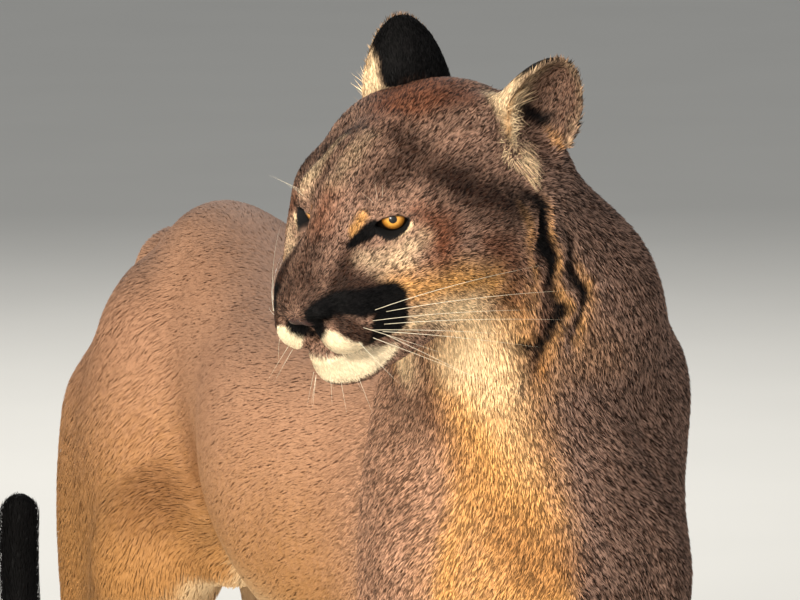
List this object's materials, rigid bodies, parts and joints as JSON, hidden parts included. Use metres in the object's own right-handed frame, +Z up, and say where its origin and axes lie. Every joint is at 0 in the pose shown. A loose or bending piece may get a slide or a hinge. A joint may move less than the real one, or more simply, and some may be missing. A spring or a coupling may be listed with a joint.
{
  "type": "cougar",
  "caption": "Life-size standing cougar with its head turned to its right and its tail hanging in a curl, as a still museum model.",
  "frame": {"origin": "on the floor, at the middle of the bounding box seen from above", "axes": "the animal faces -Y with its right side at -X, and +Z is up"},
  "size_m": [0.3502, 1.4722, 0.8875],
  "materials": {
    "face_coat": "short grey-brown fur",
    "ear_coat": "short dark fur",
    "body_coat": "short tawny fur",
    "eye": "wet"
  },
  "bodies": {
    "root": {"head": "face_coat", "ear_left": "ear_coat", "ear_right": "ear_coat", "eye_left": "eye", "eye_right": "eye", "neck": "body_coat", "torso": "body_coat", "foreleg_left": "body_coat", "foreleg_right": "body_coat", "hindleg_left": "body_coat", "hindleg_right": "body_coat", "tail": "body_coat"}
  },
  "joints": []
}
